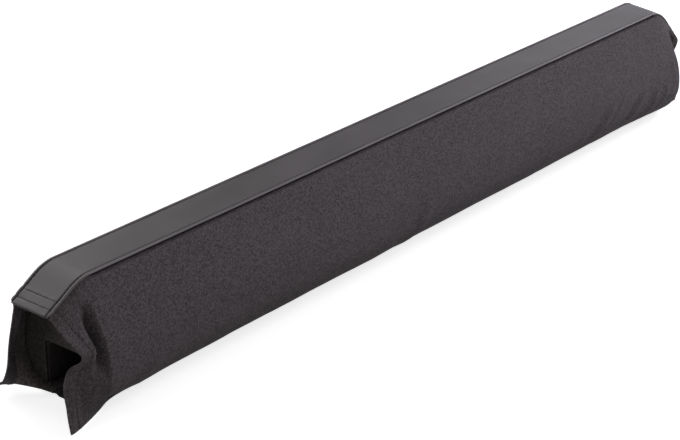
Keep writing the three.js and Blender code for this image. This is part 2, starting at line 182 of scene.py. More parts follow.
def through(points):
    """A smooth centripetal curve through the points."""
    per = 30
    p = [np.array(q, float) for q in points]
    p = [2 * p[0] - p[1], *p, 2 * p[-1] - p[-2]]
    out = []
    for p0, p1, p2, p3 in zip(p, p[1:], p[2:], p[3:]):
        gaps = ((p0, p1), (p1, p2), (p2, p3))
        d0, d1, d2 = (max(np.linalg.norm(b - a) ** 0.5, 1e-4) for a, b in gaps)
        t1 = ((p1 - p0) / d0 - (p2 - p0) / (d0 + d1) + (p2 - p1) / d1) * d1
        t2 = ((p2 - p1) / d1 - (p3 - p1) / (d1 + d2) + (p3 - p2) / d2) * d1
        t = np.linspace(0, 1, per, endpoint=False)[:, None]
        square = -3 * p1 + 3 * p2 - 2 * t1 - t2
        cube = 2 * p1 - 2 * p2 + t1 + t2
        out.append(p1 + t1 * t + square * t ** 2 + cube * t ** 3)
    return Line(np.concatenate([*out, [p[-2]]]))


def mouth_edge(end, side):
    """One free edge of a mouth, as (short, out, up)."""
    high = HEIGHT - MOUTHS[end]["drop"]
    rows = [(short, out * HALF_WIDTH, up * high) for out, up, short in MOUTHS[end][side]["edge"]]
    return through([(HEM_SHORT, HALF_TOP, high), *rows])


EDGES = {(end, side): mouth_edge(end, side) for end in MOUTHS for side in HAND}


def skin(end, side, past, down):
    """Points (x, out, up) of the cover's outer face. past is 0 at the foam's end and 1 at the mouth's edge,
    and below 0 it is the distance from the foam's end in tails. down is 0 beside the welt and 1 at the lower
    edge."""
    mouth = MOUTHS[end]
    free, hold, hollow = mouth[side]["free"], mouth[side]["hold"], mouth[side]["hollow"]
    curve = EDGES[end, side]
    rim = curve(mix(PANEL_START / curve.length, 1, down))
    x = np.where(past > 0, mix(FOAM_X, HALF_LENGTH - rim[..., 0], past), FOAM_X + past * TAIL)
    body = body_point(x, mix(PANEL_START / SIDE.length, 1, down))
    foam_along = DRAPE_LEAD / (DRAPE_LEAD + TAIL)
    along = foam_along + past * (1 - foam_along)
    held = np.maximum(past, 0) ** hold
    let_go = (free + DRAPE_LEAD) / (TAIL + DRAPE_LEAD)
    hangs = 1 - np.minimum(1, (1 - along) / (1 - let_go)) ** mouth[side].get("ease", 2)
    hang_from = mix(HANG_BODY, HANG_TAIL, smooth(0.04, 0.35, past))
    share = mix(held, hangs, smooth(hang_from, 1, down))
    deep, middle, reach, middle_down, reach_down = hollow
    sunk = deep * bump(middle, reach, past) * bump(middle_down, reach_down, down) * smooth(0, 0.15, down)
    out = mix(body[..., 0], rim[..., 1], share) - sunk
    welt_up = mix(HEIGHT, HEIGHT - mouth["drop"], share)
    settle = (top_height(x, end, float(side == "back")) - welt_up) * (1 - down) ** 2
    return np.stack([x, out, mix(body[..., 1], rim[..., 2], share) + settle], -1)


# Meshes

def lumps(points, size, seed):
    """Smooth noise from about -1 to 1 at each point, with lumps of about that size in mm."""
    cells = 64
    lattice = np.random.RandomState(seed).uniform(-1, 1, (cells, cells, cells))
    flat = points.reshape(-1, 3) / size + 1000.5
    low = np.floor(flat).astype(int)
    t = flat - low
    t = t ** 3 * (t * (6 * t - 15) + 10)
    total = np.zeros(len(flat))
    for corner in np.ndindex(2, 2, 2):
        weight = np.prod(np.where(corner, t, 1 - t), axis=1)
        total += weight * lattice[tuple(((low + corner) % cells).T)]
    return (total * 1.5).reshape(points.shape[:-1])


def normals_of(grid):
    """Unit normals of a grid of points."""
    n = np.cross(np.gradient(grid, axis=0), np.gradient(grid, axis=1))
    return n / np.maximum(np.linalg.norm(n, axis=-1, keepdims=True), 1e-9)


def make(name, points, faces, uv):
    """An object from points in mm, faces, and for each point a place on the cloth in mm."""
    mesh = bpy.data.meshes.new(name)
    mesh.from_pydata((np.asarray(points, float) * MM).tolist(), [], [tuple(f) for f in faces])
    mesh.validate()
    mesh.polygons.foreach_set("use_smooth", [True] * len(mesh.polygons))
    layer = mesh.uv_layers.new(name="cloth")
    loops = np.empty(len(mesh.loops), np.int32)
    mesh.loops.foreach_get("vertex_index", loops)
    layer.data.foreach_set("uv", (np.asarray(uv, float)[loops] * MM).ravel())
    mesh.update()
    piece = bpy.data.objects.new(name, mesh)
    bpy.context.scene.collection.objects.link(piece)
    return piece


def tube_faces(rows, columns, start=0):
    """Faces of a capped tube of rings, whose points are numbered ring by ring from start."""
    i, j = np.meshgrid(np.arange(rows - 1), np.arange(columns), indexing="ij")
    a = start + i * columns + j
    b = start + i * columns + (j + 1) % columns
    quads = np.stack([a, b, b + columns, a + columns], -1).reshape(-1, 4)
    last = start + (rows - 1) * columns
    caps = [tuple(range(start, start + columns))[::-1], tuple(range(last, last + columns))]
    return [tuple(quad) for quad in quads] + caps


def outward(piece):
    """Turns a closed mesh's faces outwards."""
    mesh = piece.data
    mesh.calc_loop_triangles()
    co, index = np.empty(len(mesh.vertices) * 3), np.empty(len(mesh.loop_triangles) * 3, np.int32)
    mesh.vertices.foreach_get("co", co)
    mesh.loop_triangles.foreach_get("vertices", index)
    a, b, c = np.moveaxis(co.reshape(-1, 3)[index.reshape(-1, 3)], 1, 0)
    if (a * np.cross(b, c)).sum() < 0:
        mesh.flip_normals()
    return piece


FOLD_STEPS = 10


def fold(outer, inner, ahead):
    """Rings from an outer row round to the inner row, bulging ahead."""
    centre, arm = (outer + inner) / 2, (outer - inner) / 2
    far = np.maximum(np.linalg.norm(ahead, axis=-1, keepdims=True), 1e-9)
    bulge = np.linalg.norm(arm, axis=-1, keepdims=True) * ahead / far
    turns = [math.pi * k / FOLD_STEPS for k in range(1, FOLD_STEPS)]
    return [centre + arm * math.cos(t) + bulge * math.sin(t) for t in turns]


def shell(name, outer, thick, uv, round_ends=(True, True), round_sides=(False, False)):
    """A closed sheet of cloth whose outer face is a grid (rows, columns, 3). thick is its thickness at each
    point, inwards. Ends and sides that are stated as round are finished as a fold."""
    inner = outer - normals_of(outer) * thick[..., None]
    rows, columns = outer.shape[:2]
    # One loop of rows: the outer face, the last end's fold, the inner face backwards, the first end's fold
    last = fold(outer[-1], inner[-1], outer[-1] - outer[-2]) if round_ends[1] else []
    first = fold(inner[0], outer[0], outer[0] - outer[1]) if round_ends[0] else []
    loop = [*outer, *last, *inner[::-1], *first]
    uv_loop = [*uv, *[uv[-1]] * len(last), *uv[::-1], *[uv[0]] * len(first)]
    count = len(loop)
    index = np.arange(count * columns).reshape(count, columns)
    faces = []
    for k in range(count):
        a, b = index[k], index[(k + 1) % count]
        faces += [tuple(f) for f in np.stack([a[:-1], a[1:], b[1:], b[:-1]], -1)]
    points, places = np.stack(loop).reshape(-1, 3), np.stack(uv_loop).reshape(-1, 2)
    n_last, n_first = len(last), len(first)
    for side, beside, rounded in ((0, 1, round_sides[0]), (columns - 1, columns - 2, round_sides[1])):
        # Closes the side between the outer and the inner face, with a round fold where asked
        on_outer = index[:rows, side]
        on_inner = index[rows + n_last:2 * rows + n_last, side][::-1]
        bridge = [on_outer]
        if rounded:
            ahead = points[on_outer] - points[index[:rows, beside]]
            for ring in fold(points[on_outer], points[on_inner], ahead):
                start = len(points)
                points = np.concatenate([points, ring])
                places = np.concatenate([places, places[on_outer]])
                bridge.append(np.arange(start, start + rows))
        bridge.append(on_inner)
        for a, b in zip(bridge, bridge[1:]):
            quads = [(a[k], a[k + 1], b[k + 1], b[k]) for k in range(rows - 1)]
            faces += quads if side else [q[::-1] for q in quads]
        # Closes the end of each end's fold with one face
        if n_last:
            ring = [index[k][side] for k in range(rows - 1, rows + n_last + 1)]
            ring += [b[-1] for b in bridge[1:-1]][::-1]
            faces.append(tuple(ring if side else ring[::-1]))
        if n_first:
            ring = [index[k % count][side] for k in range(count - n_first - 1, count + 1)]
            ring += [b[0] for b in bridge[1:-1]]
            faces.append(tuple(ring if side else ring[::-1]))
    return outward(make(name, points, faces, places))


def lined(piece, material, edge):
    """Gives the inner face of a shell with round ends its own material past the hem. edge is how far from the
    mouth's edge its points are."""
    rows, columns = edge.shape
    first = (rows + FOLD_STEPS - 1) * (columns - 1)
    past_hem = (edge[::-1][:-1, :-1] > HEM).ravel()
    piece.data.materials.append(material)
    index = np.zeros(len(piece.data.polygons), np.int32)
    index[first:first + len(past_hem)] = past_hem
    piece.data.polygons.foreach_set("material_index", index)


# Materials

class Look:
    """A procedural material under construction."""

    def __init__(self, name):
        self.material = bpy.data.materials.new(name)
        self.material.use_nodes = True
        self.tree = self.material.node_tree
        self.shader = next(n for n in self.tree.nodes if n.type == "BSDF_PRINCIPLED")

    def node(self, kind, values=(), **settings):
        made = self.tree.nodes.new("ShaderNode" + kind)
        for key, value in settings.items():
            setattr(made, key, value)
        for key, value in dict(values).items():
            self.put(made.inputs[key], value)
        return made

    def put(self, socket, value):
        if isinstance(value, bpy.types.NodeSocket):
            self.tree.links.new(value, socket)
        else:
            socket.default_value = value

    def math(self, operation, a, b=0.0, c=0.0):
        return self.node("Math", {0: a, 1: b, 2: c}, operation=operation).outputs[0]

    def place(self):
        """Place on the cloth, in mm."""
        uv = self.node("UVMap", uv_map="cloth")
        return self.stretch(uv.outputs[0], 1000, 1000, 1000)

    def stretch(self, vector, *factors):
        return self.node("VectorMath", {0: vector, 1: factors}, operation="MULTIPLY").outputs[0]

    def noise(self, vector, scale, detail=2.0, rough=0.5):
        values = {"Vector": vector, "Scale": scale, "Detail": detail, "Roughness": rough}
        return self.node("TexNoise", values).outputs[0]

    def each_cell(self, column, row):
        """A value from 0 to 1 for each whole column and row."""
        cell = self.node("CombineXYZ", {0: column, 1: row}).outputs[0]
        return self.node("TexWhiteNoise", {"Vector": cell}, noise_dimensions="2D").outputs[0]

    def ramp(self, value, low, high, to_low, to_high):
        return self.node("MapRange", {0: value, 1: low, 2: high, 3: to_low, 4: to_high}).outputs[0]

    def tint(self, factor, dark, light):
        made = self.node("Mix", data_type="RGBA")
        self.put(made.inputs[0], factor)
        self.put(made.inputs[6], (*dark, 1))
        self.put(made.inputs[7], (*light, 1))
        return made.outputs[2]

    def bump(self, height, distance, strength):
        made = self.node("Bump", {"Height": height, "Distance": distance, "Strength": strength})
        self.tree.links.new(made.outputs[0], self.shader.inputs["Normal"])

    def finish(self, colour, roughness, **plain):
        self.put(self.shader.inputs["Base Color"], colour)
        self.put(self.shader.inputs["Roughness"], roughness)
        for key, value in plain.items():
            self.shader.inputs[key.replace("_", " ")].default_value = value
        return self.material


def srgb(*levels):
    """A linear colour from sRGB levels of 0 to 255."""
    shares = [level / 255 for level in levels]
    return tuple(v / 12.92 if v <= 0.04045 else ((v + 0.055) / 1.055) ** 2.4 for v in shares)


def woven(name, dark, light, pitch=0.62, depth=0.0003, sheen=0.06):
    """A plain weave of slightly uneven yarns, with painted highlight on the yarn crowns and on flecks where a
    yarn lies proud.
    """
    look = Look(name)
    place = look.place()
    wander = look.noise(place, 0.05, 2)
    split = look.node("SeparateXYZ", {0: place})
    warped = look.math("MULTIPLY_ADD", wander, 0.9, split.outputs[0])
    across = look.math("DIVIDE", warped, pitch)
    down = look.math("DIVIDE", split.outputs[1], pitch)
    waves = [look.math("SINE", look.math("MULTIPLY", way, math.pi)) for way in (across, down)]
    warp, weft = (look.math("ABSOLUTE", wave) for wave in waves)
    column, row = look.math("FLOOR", across), look.math("FLOOR", down)
    parity = look.math("PINGPONG", look.math("ADD", column, row), 1.0)
    over = look.math("MULTIPLY_ADD", parity, 0.6, 0.2)
    crown = look.math("ADD", look.math("MULTIPLY", warp, over),
                      look.math("MULTIPLY", weft, look.math("SUBTRACT", 1.0, over)))
    each = look.each_cell(column, row)
    both = look.each_cell(*(look.math("FLOOR", look.math("MULTIPLY", way, 0.5)) for way in (across, down)))
    fleck = look.noise(place, 0.75, 3, 0.7)
    streak = look.noise(look.stretch(place, 1.15, 0.5, 1), 1.05, 2, 0.6)
    patch = look.noise(place, 0.012, 3)
    bright = look.ramp(each, 0, 1, 0.35, 1.25)
    # Lighter where the crowns and flecks stand high: painted highlight, with painted shade between the yarns.
    # The cells, streaks and patches are uneven tone.
    for value, *ends in ((both, 0, 1, 0.45, 1.4), (fleck, 0.3, 0.7, 0.45, 1.5), (streak, 0.3, 0.7, 0.5, 1.55),
                         (patch, 0.3, 0.7, 0.88, 1.1), (crown, 0, 1, 0.5, 1.1)):
        bright = look.math("MULTIPLY", bright, look.ramp(value, *ends))
    height = look.math("ADD", crown, look.math("MULTIPLY", fleck, 2.0))
    look.bump(look.math("ADD", height, look.math("MULTIPLY", both, 0.5)), depth, 0.9)
    rough = look.ramp(each, 0, 1, 0.5, 0.72)
    return look.finish(look.tint(bright, dark, light), rough, Sheen_Weight=sheen, Sheen_Roughness=0.4,
                       Specular_IOR_Level=0.4)


def coated(name, dark, light, roughness):
    """Smooth coated cloth: fine grain, faint weave showing through, rubbed patches."""
    look = Look(name)
    place = look.place()
    split = look.node("SeparateXYZ", {0: place})
    per_rib = 2 * math.pi / 0.9
    ribs = [look.math("SINE", look.math("MULTIPLY", split.outputs[k], per_rib)) for k in (0, 1)]
    weave = look.math("MULTIPLY", *ribs)
    grain = look.noise(place, 1.6, 4, 0.6)
    rubbed = look.noise(place, 0.018, 4, 0.55)
    height = look.math("MULTIPLY_ADD", weave, 0.18, grain)
    look.bump(height, 0.00009, 0.7)
    tone = look.math("MULTIPLY_ADD", rubbed, 0.75, look.math("MULTIPLY", grain, 0.35))
    rough = look.ramp(rubbed, 0.3, 0.7, roughness - 0.05, roughness + 0.08)
    return look.finish(look.tint(tone, dark, light), rough, Specular_IOR_Level=0.5, Sheen_Weight=0.08)


def foamed(name, dark, light):
    """Closed-cell foam."""
    look = Look(name)
    place = look.place()
    cells = look.node("TexVoronoi", {"Vector": place, "Scale": 1.1}).outputs["Distance"]
    fine = look.noise(place, 3.0, 3)
    look.bump(look.math("ADD", cells, look.math("MULTIPLY", fine, 0.4)), 0.0003, 0.8)
    tone = look.math("MULTIPLY", cells, 0.9)
    return look.finish(look.tint(tone, dark, light), 0.92, Specular_IOR_Level=0.2)


def piled(name, dark, light, pitch):
    """Hook or loop tape: a stiff ground with rows of pile."""
    look = Look(name)
    place = look.place()
    dots = look.node("TexVoronoi", {"Vector": place, "Scale": 1 / pitch}).outputs["Distance"]
    fuzz = look.noise(place, 2.2, 4, 0.7)
    height = look.math("SUBTRACT", look.math("MULTIPLY", fuzz, 0.8), dots)
    look.bump(height, 0.0006, 0.9)
    return look.finish(look.tint(look.ramp(height, -0.6, 0.5, 0, 1), dark, light), 0.9, Sheen_Weight=0.3)


def ribbed(name, dark, light, pitch):
    """Ribbed edge tape or twisted thread."""
    look = Look(name)
    place = look.place()
    split = look.node("SeparateXYZ", {0: place})
    ribs = look.math("SINE", look.math("MULTIPLY", split.outputs[0], 2 * math.pi / pitch))
    fuzz = look.noise(place, 1.8, 3)
    height = look.math("MULTIPLY_ADD", ribs, 0.5, fuzz)
    look.bump(height, 0.00025, 0.8)
    return look.finish(look.tint(look.ramp(height, -0.3, 1.3, 0, 1), dark, light), 0.75, Sheen_Weight=0.15)


WOVEN = woven("woven_polyester", srgb(20, 17, 18), srgb(104, 95, 98))
# The panels' inner face: a lighter copy of the woven cloth, painted light inside the mouths
REVERSE_PAINTED_LIGHT = woven("woven_reverse_painted_light", srgb(44, 39, 38), srgb(142, 133, 131), 0.62, 0.0002, 0.03)
COATED_CLOTH = coated("coated_cloth", srgb(55, 52, 53), srgb(100, 95, 97), 0.44)
# The welts: a lighter copy of the coated cloth, a painted highlight along their crests
PIPING_PAINTED_HIGHLIGHT = coated("piping_cloth_painted_highlight", srgb(76, 73, 75), srgb(134, 128, 130), 0.38)
# The end panels: a lighter copy of the lining cloth, painted light falling into the mouths
END_CLOTH_PAINTED_LIGHT = woven("end_cloth_painted_light", srgb(34, 31, 30), srgb(106, 98, 96), 0.5, 0.00015, 0.0)
LINED = woven("lining_cloth", srgb(22, 20, 19), srgb(76, 70, 68), 0.45, 0.00012, 0.0)
FOAMED = foamed("closed_cell_foam", srgb(38, 38, 40), srgb(66, 66, 70))
HOOKED = piled("hook_pile", srgb(8, 8, 8), srgb(34, 33, 33), 1.3)
LOOPED = piled("loop_pile", srgb(10, 10, 10), srgb(44, 42, 42), 0.7)
THREAD = ribbed("thread", srgb(5, 4, 4), srgb(24, 22, 22), 0.55)
EDGE_TAPE = ribbed("edge_tape", srgb(12, 11, 11), srgb(58, 54, 54), 1.7)


def dress(piece, material, slot, *nodes):
    """Gives a piece its material and body, and the solids it stands for. slot is not used."""
    piece.data.materials.clear()
    piece.data.materials.append(material)
    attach(piece, "root")
    if nodes:
        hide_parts(*nodes)
    return piece


# The woven panels' folds: ((x, up) from, (x, up) to, width, height) in mm, with a minus height for a crease
FRONT_RIDGES = [
    ((246, 45), (204, 15), 2.8, 1.5), ((231, 42), (198, 19), 2.6, -0.8), ((200, 37), (188, 16), 2.5, 1.0),
    ((264, 50), (238, 26), 2.7, 1.1), ((294, 42), (262, 17), 2.8, 1.6), ((283, 40), (252, 18), 2.6, -0.9),
    ((313, 38), (299, 13), 2.5, 1.3), ((303, 36), (286, 15), 2.6, -0.7), ((330, 37), (316, 13), 2.3, 1.1),
    ((338, 60), (341, 30), 3.0, 0.59), ((-14, 46), (-36, 0), 5.5, 1.3), ((-300, 34), (-322, 12), 5.0, 0.85),
    ((-375, 44), (-375, 8), 3.2, 0.8), ((-368.5, 36), (-367, 4), 3.4, -1.1),
    ((-360, 33), (-357, 6), 4.0, 0.7), ((-364, 46), (-370, 36), 3.0, -1.0),
    ((150, 40), (136, 14), 3.2, 0.51), ((96, 70), (70, 30), 5.0, 0.42), ((128, 78), (104, 40), 5.0, 0.37),
]
BACK_RIDGES = [
    ((262, 44), (226, 15), 3.0, 1.19), ((300, 40), (276, 14), 2.6, 1.02),
    ((322, 42), (310, 14), 2.4, 0.85), ((-296, 42), (-262, 15), 3.0, 1.1),
    ((-322, 38), (-304, 12), 2.6, 0.94), ((-40, 40), (-16, 14), 5.0, 0.85),
    ((120, 40), (98, 14), 4.0, 0.51), ((-150, 46), (-128, 14), 4.0, 0.59),
]


def along_segment(points, a, b, width):
    """How near the points (x, up) are to a segment: 1 on it, fading over width and towards its ends."""
    a, b = np.array(a, float), np.array(b, float)
    run = b - a
    t = ((points - a) @ run) / (run @ run)
    foot = a + np.clip(t, 0, 1)[..., None] * run
    apart = np.linalg.norm(points - foot, axis=-1)
    taper = smooth(-0.02, 0.3, t) * smooth(-0.02, 0.3, 1 - t)
    return np.exp(-((apart / width) ** 2)) * taper


def creases(grid, side, downs):
    """How far the cloth stands off its smooth shape, in mm outwards, at each point of a side's grid."""
    x = grid[..., 0]
    off = np.zeros(x.shape)
    for a, b, width, high in FRONT_RIDGES if side == "front" else BACK_RIDGES:
        off += high * along_segment(grid[..., [0, 2]], a, b, width)
    held = smooth(0, 0.12, downs)[None, :]
    low = smooth(0.35, 0.8, downs)[None, :]
    ends = smooth(60, 320, x) + 0.5 * smooth(-280, -340, x)
    slack = lumps(grid * (1, 0.5, 0.5), 46, 3 if side == "front" else 7)
    ripple = lumps(grid * (1, 0.25, 0.25), 9, 5 if side == "front" else 11)
    soft = 0.28 * slack * mix(0.6, 1.2, low)
    fine = 0.13 * ripple * mix(0.5, 1.3, ends) * mix(0.5, 1.2, low)
    return off + held * (soft + fine)


# The woven panels

def panel_grid(side):
    """The outer face of a whole side panel, from the near mouth to the far one, and how far down it each
    column lies."""
    downs = np.concatenate([np.linspace(0, 0.03, 8)[:-1], np.linspace(0.03, 1, 106)])
    body = [*np.arange(FOAM_X, 120, -4), *np.arange(120, 36, -2.4), *np.arange(36, 0.5, -1.2)]
    pasts = np.array([*(-x / TAIL for x in body), *np.linspace(0, 1, 38)])
    past, down = np.meshgrid(pasts, downs, indexing="ij")
    halves = []
    for end, sign in ENDS.items():
        points = skin(end, side, past, down)
        points[..., 0] *= sign
        halves.append(points[::-1] if sign < 0 else points[1:])
    grid = np.concatenate(halves)
    grid[..., 1] *= HAND[side]
    return relaxed(grid, downs, HAND[side]), downs


def relaxed(grid, downs, hand):
    """Evens out the low corner of each mouth, where the cloth spans from the belly to its free lower edge."""
    rounds, end_rows = 700, 90
    grid = grid.copy()
    low = slice(int(np.argmax(downs > 0.5)), None)
    for rows in (slice(0, end_rows), slice(len(grid) - end_rows, None)):
        part = grid[rows, low]
        start = part.copy()
        past = (np.abs(part[..., 0]) - FOAM_X) / TAIL
        free = smooth(-1.5, -0.2, past) * smooth(1.05, 0.9, past)
        free = (free * smooth(0.6, 0.8, downs[low]) * smooth(1.0, 0.985, downs[low]))[..., None]
        beside_foam = np.abs(part[..., 0]) < FOAM_X + 2
        for _ in range(rounds):
            even = part.copy()
            even[1:-1, 1:-1] = (part[:-2, 1:-1] + part[2:, 1:-1] + part[1:-1, :-2] + part[1:-1, 2:]) / 4
            even[..., 0] = part[..., 0]
            part = mix(part, even, free)
            inwards = beside_foam & ((part[..., 1] - start[..., 1]) * hand < 0)
            part[inwards] = start[inwards]
        grid[rows, low] = part
    return grid


def laid_out(grid):
    """Each grid point's place on the flat cloth, in mm."""
    rows = np.linalg.norm(np.diff(grid, axis=0), axis=-1)
    columns = np.linalg.norm(np.diff(grid, axis=1), axis=-1)
    middle = rows.shape[1] // 2
    u = np.concatenate([[0], np.cumsum(rows[:, middle])])
    v = np.concatenate([np.zeros((len(grid), 1)), np.cumsum(columns, 1)], 1)
    centre = len(grid) // 2
    return np.stack([np.broadcast_to((u - u[centre])[:, None], v.shape), v], -1)


def from_edge(grid):
    """Distance of each point from the mouth's edge at either end, in mm along the cloth."""
    steps = np.linalg.norm(np.diff(grid, axis=0), axis=-1)
    ahead = np.concatenate([np.zeros((1, grid.shape[1])), np.cumsum(steps, 0)])
    return np.minimum(ahead, ahead[-1:] - ahead)


HEM_LINE = 7.5  # of the woven hem's stitches, from the mouth's edge
TUCKS = {"front": (3.3, -0.8), "back": (2.4, 1.0)}  # how far in and up a top edge runs under its welt
MOUTH_TUCK, NEAR_TUCK_UP, FAR_TUCK_UP = 2.4, 0.8, 0.55  # the same past the foam


def pressed(distance, line):
    """1 at a line of stitches that presses the cloth in, and away to nothing beside it."""
    width = 0.9
    return np.exp(-(((distance - line) / width) ** 2))


def side_panel(side):
    """Builds a woven panel, and gives its outer face and the directions outwards from it."""
    hand = HAND[side]
    grid, downs = panel_grid(side)
    out = hand * normals_of(grid)
    edge = from_edge(grid)
    held = smooth(0, 0.06, downs)[None, :]
    off = creases(grid, side, downs)
    off += held * (0.12 * smooth(HEM + 1.5, HEM - 1, edge) - 0.22 * pressed(edge, HEM_LINE))
    grid = grid + out * off[..., None]
    tuck = (1 - smooth(-0.004, 0.016, downs))[None, :]
    past_foam = smooth(FOAM_X - 12, FOAM_X - 1, np.abs(grid[..., 0]))
    tuck_in, tuck_up = TUCKS[side]
    mouth_tuck_up = np.where(grid[..., 0] < 0, NEAR_TUCK_UP, FAR_TUCK_UP)
    grid[..., 1] -= hand * mix(tuck_in, MOUTH_TUCK, past_foam) * tuck
    grid[..., 2] += mix(tuck_up, mouth_tuck_up, past_foam) * tuck
    thick = mix(CLOTH, 2 * CLOTH * 0.95, smooth(HEM + 0.7, HEM - 0.7, edge))
    thick = mix(CLOTH, thick, smooth(0, 0.08, downs)[None, :])
    cloth = shell(f"woven_{side}", grid[:, ::hand], thick[:, ::hand], laid_out(grid)[:, ::hand])
    dress(cloth, WOVEN, "woven", f"{side}_panel")
    # Past the hem the inner face takes the lighter copy of the woven cloth: painted light
    lined(cloth, REVERSE_PAINTED_LIGHT, edge[:, ::hand])
    return grid, out


PANELS = {side: side_panel(side) for side in HAND}


# The coated strip and its welts

BAND_IN, BAND_OUT = 16.3, 18.5  # where the folded welt lies, from the middle of the strip
UNDER_BAND = 0.6  # how far the strip runs on under it
STRIP_STITCHES = (4.8, 11.6)  # the two stitch lines of the strip's hems, from its ends


def lengthways(short, step):
    """Places along the strip, step apart and closer on its slopes, that stop short of its ends."""
    last, slope_from, fine, tiny = REACH - short, FOAM_X - 16, 0.75, 0.01
    return np.concatenate([np.arange(-last, -slope_from, fine), np.arange(-slope_from, slope_from, step),
                           np.arange(slope_from, last + tiny, fine)])


def top_grid():
    """The strip's upper face, and each point's distance from the strip's ends."""
    xs = lengthways(0, 4)
    from_mouth = (REACH - np.abs(xs))[:, None]
    hemmed = smooth(HEM + 1.3, HEM - 0.5, from_mouth)
    share = np.sin(np.linspace(-math.pi / 2, math.pi / 2, 45))[None, :]
    x, y = np.broadcast_arrays(xs[:, None], (BAND_IN + UNDER_BAND) * share)
    grid = np.stack([x, y, crest(x, (y / HALF_TOP + 1) / 2)], -1)
    edge = from_edge(grid)
    roll = -1.2 * smooth(BAND_IN - 1.5, BAND_IN - 0.3, np.abs(y))
    slack = lumps(grid, 34, 21) * mix(0.16, 0.34, smooth(100, 330, x))
    slack += lumps(grid * (1, 0.4, 1), 11, 23) * 0.05
    pucker = 0.34 + 0.3 * lumps(grid * (0.5, 1, 0.5), 2.6, 27)
    hem = 0.35 * hemmed - pucker * sum(pressed(edge, line) for line in STRIP_STITCHES)
    grid[..., 2] += roll + slack * (1 - share ** 4) + hem
    return grid, edge


TOP_GRID, edge = top_grid()
thick = mix(COATED * 0.9, COATED * 1.75, smooth(HEM + 0.7, HEM - 0.7, edge))
thick = mix(thick, 0.42, smooth(BAND_IN - 2.0, BAND_IN - 0.6, np.abs(TOP_GRID[..., 1])))
strip = shell("coated_strip", TOP_GRID, thick, laid_out(TOP_GRID))
dress(strip, COATED_CLOTH, "coated", "top_panel")


def piping(side):
    """A welt folded flat along the strip's edge, nipped by the hems' stitches at both ends."""
    hand = HAND[side]
    xs = lengthways(0.8, 3)
    up = crest(xs, float(side == "back"))
    slope = np.gradient(up, xs)
    turns = np.linspace(0, 2 * math.pi, 26, endpoint=False)
    lean = math.radians(9)
    rings = []
    for x, z, s in zip(xs, up, slope):
        edge = REACH - abs(x)
        nip = sum(pressed(edge, line) for line in STRIP_STITCHES)
        corner = max(0.0, 1 - edge / 3.0) ** 2
        wide = (BAND_OUT - BAND_IN) / 2 - 0.15 * nip - 0.7 * corner
        tall = 0.65 + 0.15 * smooth(12, 10, edge) - 0.2 * nip
        level = -0.35 - 0.2 * nip
        wave = 0.1 * noise.noise(Vector((x / 17, hand * 3.0, 0.4)))
        a = (wide + 0.3 * wave) * np.sign(np.cos(turns)) * np.abs(np.cos(turns)) ** 0.95
        b = (tall + 0.4 * wave) * np.sign(np.sin(turns)) * np.abs(np.sin(turns)) ** 0.9
        across = a * math.cos(lean) + b * math.sin(lean)
        rise = -a * math.sin(lean) + b * math.cos(lean) + level
        square = math.sqrt(1 + s * s)
        y = hand * ((BAND_IN + BAND_OUT) / 2 - 0.8 * corner + across)
        rings.append(np.stack([x - rise * s / square, y, z + rise / square], -1))
    tips = []
    for ring, ahead in ((rings[0], rings[0] - rings[1]), (rings[-1], rings[-1] - rings[-2])):
        middle = ring.mean(0)
        bulge = 0.6 * ahead.mean(0) / np.linalg.norm(ahead.mean(0))
        tips.append([middle + (ring - middle) * math.cos(t) + bulge * math.sin(t) for t in (0.5, 0.95, 1.35)])
    rings = np.stack([*tips[0][::-1], *rings, *tips[1]])
    faces = tube_faces(len(rings), len(turns))
    u = np.concatenate([[0], np.cumsum(np.linalg.norm(np.diff(rings[:, 0], axis=0), axis=-1))])
    uv = np.stack([np.repeat(u, len(turns)), np.tile(turns * 1.7, len(rings))], -1)
    # The welt wears the lighter coated cloth: painted highlight
    dress(outward(make(f"piping_{side}", rings.reshape(-1, 3), faces, uv)), PIPING_PAINTED_HIGHLIGHT, "welt", f"{side}_welt")


for side in HAND:
    piping(side)


# Foam, lining and end panels

def inset(points, depth):
    """Moves an open outline (n, 2) to its right by depth, which may differ along it."""
    ahead = np.concatenate([points[1:], points[-1:]])
    behind = np.concatenate([points[:1], points[:-1]])
    run = ahead - behind
    run /= np.maximum(np.linalg.norm(run, axis=-1, keepdims=True), 1e-9)
    return points + np.stack([run[:, 1], -run[:, 0]], -1) * np.broadcast_to(depth, len(points))[:, None]


def channel_outline(half, ceiling, corner, foot_up):
    """The bar's channel, from its left foot up, across and down to the right one."""
    t = np.linspace(0, math.pi / 2, 8)
    left = np.stack([-half + corner - corner * np.cos(t), ceiling - corner + corner * np.sin(t)], -1)
    right = left[::-1] * (-1, 1)
    wall = np.linspace(0, 1, 6)[:-1, None]
    up = mix(np.array([[-half, foot_up]]), left[:1], wall)
    flat = mix(left[-1:], right[:1], np.linspace(0, 1, 10)[1:-1, None])
    return np.concatenate([up, left, flat, right, (up * (-1, 1))[::-1]])


shares = np.linspace(0, 1, 401)
FOAM_DOWN = shares[np.argmax(SIDE(shares)[:, 1] <= FOAM_UP)]  # how far down its side the foam reaches
SIDE_POINTS = 34


